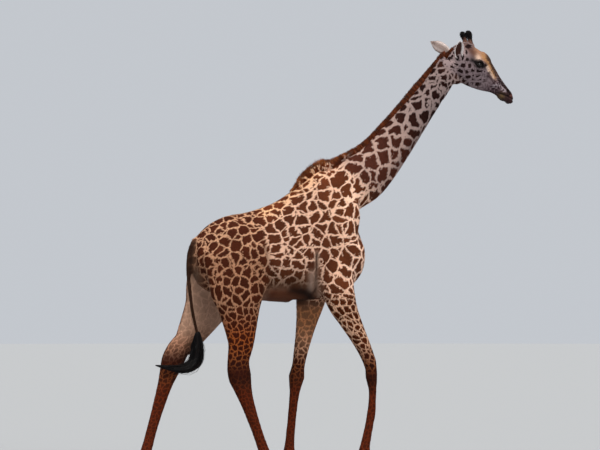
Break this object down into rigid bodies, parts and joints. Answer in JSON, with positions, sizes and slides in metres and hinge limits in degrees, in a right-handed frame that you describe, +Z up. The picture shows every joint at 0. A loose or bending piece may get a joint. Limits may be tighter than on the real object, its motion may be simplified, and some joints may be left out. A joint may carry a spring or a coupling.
{
  "type": "giraffe",
  "caption": "Life-size still model of an adult female Masai giraffe at a walk, neck reaching forward and up, tail tassel swung back, standing flat on its hooves",
  "frame": {"origin": "on the floor under the middle of the whole figure", "axes": "+X is the way the animal walks, +Y its left side, +Z up"},
  "size_m": [3.2346, 0.5904, 3.7633],
  "materials": {
    "coat": "short flat fur, dark leaf-shaped patches on a pale ground",
    "mane_hair": "short upright red-brown bristles",
    "tassel_hair": "long black hair",
    "horn_skin": "furred skin over bone, black hair on top",
    "hoof_horn": "worn dark horn",
    "eye": "wet dark brown"
  },
  "bodies": {
    "root": {"ear_left": "coat", "ear_right": "coat", "eye_left": "eye", "eye_right": "eye", "foreleg_left_lower": "coat", "foreleg_left_upper": "coat", "foreleg_right_lower": "coat", "foreleg_right_upper": "coat", "head": "coat", "hindleg_left_lower": "coat", "hindleg_left_upper": "coat", "hindleg_right_lower": "coat", "hindleg_right_upper": "coat", "hoof_fore_left_inner": "hoof_horn", "hoof_fore_left_outer": "hoof_horn", "hoof_fore_right_inner": "hoof_horn", "hoof_fore_right_outer": "hoof_horn", "hoof_hind_left_inner": "hoof_horn", "hoof_hind_left_outer": "hoof_horn", "hoof_hind_right_inner": "hoof_horn", "hoof_hind_right_outer": "hoof_horn", "mane": "mane_hair", "neck": "coat", "ossicone_left": "horn_skin", "ossicone_right": "horn_skin", "tail": "coat", "tail_tassel": "tassel_hair", "trunk": "coat"}
  },
  "joints": []
}
